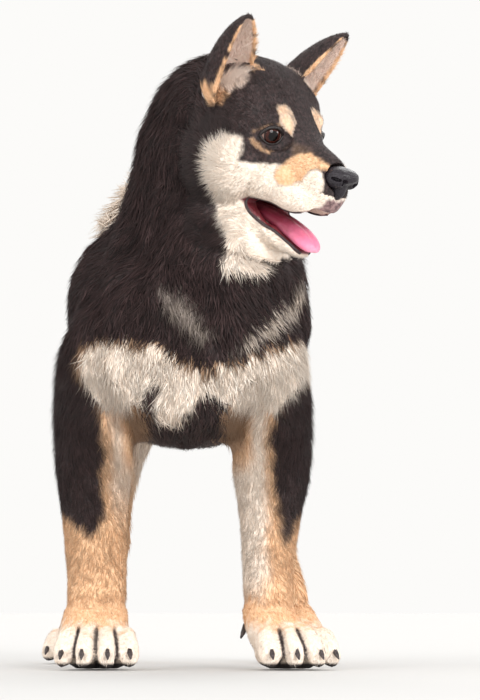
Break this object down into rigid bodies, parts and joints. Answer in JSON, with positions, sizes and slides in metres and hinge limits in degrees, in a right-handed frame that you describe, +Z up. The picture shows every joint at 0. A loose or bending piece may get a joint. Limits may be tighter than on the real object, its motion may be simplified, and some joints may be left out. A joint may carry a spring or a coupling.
{
  "type": "shiba inu",
  "caption": "Life-size still model of a young black and tan shiba inu, standing with its head turned to its left and its mouth open, tail curled over the back; for display and scenes.",
  "frame": {"origin": "middle of the bounding box on the floor plane that the paws stand on", "axes": "+Z up; the body faces -Y, its left side is at +X, and the head is turned towards +X"},
  "size_m": [0.2454, 0.4304, 0.4684],
  "materials": {
    "coat_black": "dense short black-brown fur",
    "coat_tan": "dense short tan fur",
    "coat_cream": "dense short cream fur",
    "nose": "moist pebbled black skin",
    "eye": "wet dark brown",
    "tongue": "moist pink",
    "claw": "smooth dark horn"
  },
  "bodies": {
    "root": {"claw_front_left_1": "claw", "claw_front_left_2": "claw", "claw_front_left_3": "claw", "claw_front_left_4": "claw", "claw_front_right_1": "claw", "claw_front_right_2": "claw", "claw_front_right_3": "claw", "claw_front_right_4": "claw", "claw_hind_left_1": "claw", "claw_hind_left_2": "claw", "claw_hind_left_3": "claw", "claw_hind_left_4": "claw", "claw_hind_right_1": "claw", "claw_hind_right_2": "claw", "claw_hind_right_3": "claw", "claw_hind_right_4": "claw", "dewclaw_left": "claw", "dewclaw_right": "claw", "ear_left": "coat_black", "ear_right": "coat_black", "eye_left": "eye", "eye_right": "eye", "foreleg_left": "coat_tan", "foreleg_right": "coat_tan", "head": "coat_black", "hindleg_left": "coat_tan", "hindleg_right": "coat_tan", "jaw": "coat_cream", "neck": "coat_black", "nose": "nose", "paw_front_left": "coat_cream", "paw_front_right": "coat_cream", "paw_hind_left": "coat_cream", "paw_hind_right": "coat_cream", "tail_base": "coat_tan", "tail_middle": "coat_tan", "tail_tip": "coat_tan", "tongue": "tongue", "torso": "coat_black"}
  },
  "joints": []
}
